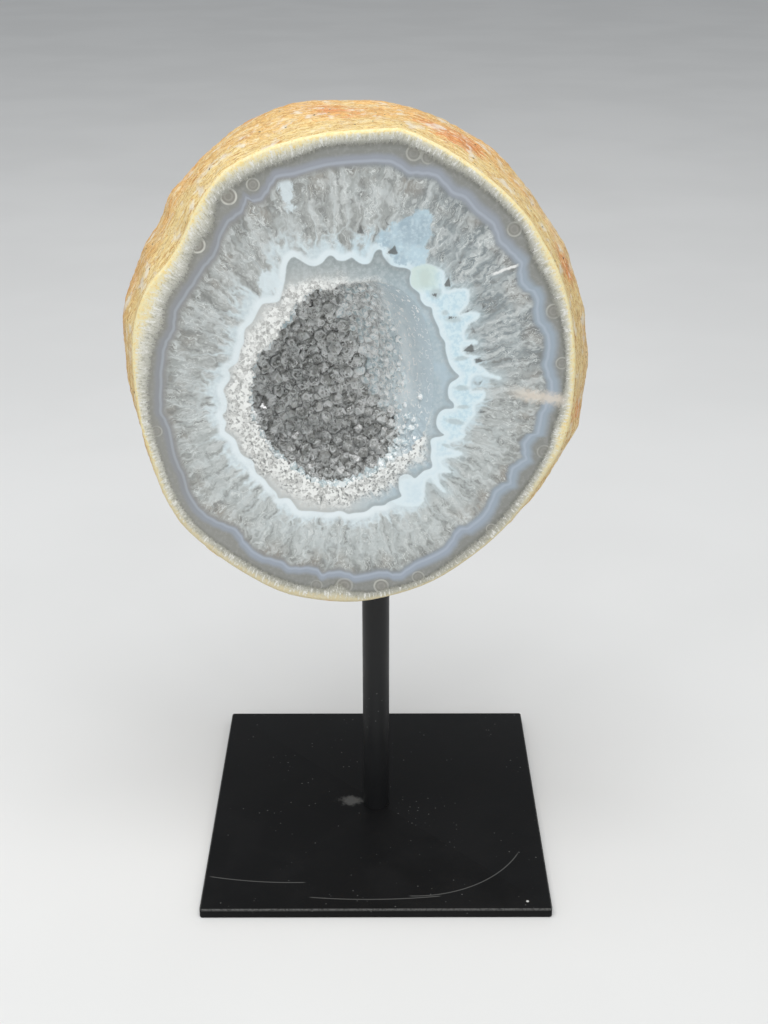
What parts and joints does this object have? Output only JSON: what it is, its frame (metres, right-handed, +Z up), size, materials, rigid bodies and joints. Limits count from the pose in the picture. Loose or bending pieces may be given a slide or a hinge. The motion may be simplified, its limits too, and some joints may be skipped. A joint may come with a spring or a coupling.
{
  "type": "agate slice on stand",
  "caption": "Thick agate slice with a polished face and a crystal-lined hollow, held upright on a round rod that stands on a square plate.",
  "frame": {"origin": "centre of the plate's underside", "axes": "+Z up along the rod, -Y out of the slice's polished face, +X to the right as one looks at that face"},
  "size_m": [0.1239, 0.1, 0.2171],
  "materials": {
    "agate": "polished face, dull tan rind",
    "quartz": "small clear to smoky crystal points",
    "black_steel": "satin black"
  },
  "bodies": {
    "root": {"agate_slice": "agate", "crystal_crust": "quartz", "stand_rod": "black_steel", "base_plate": "black_steel"}
  },
  "joints": []
}
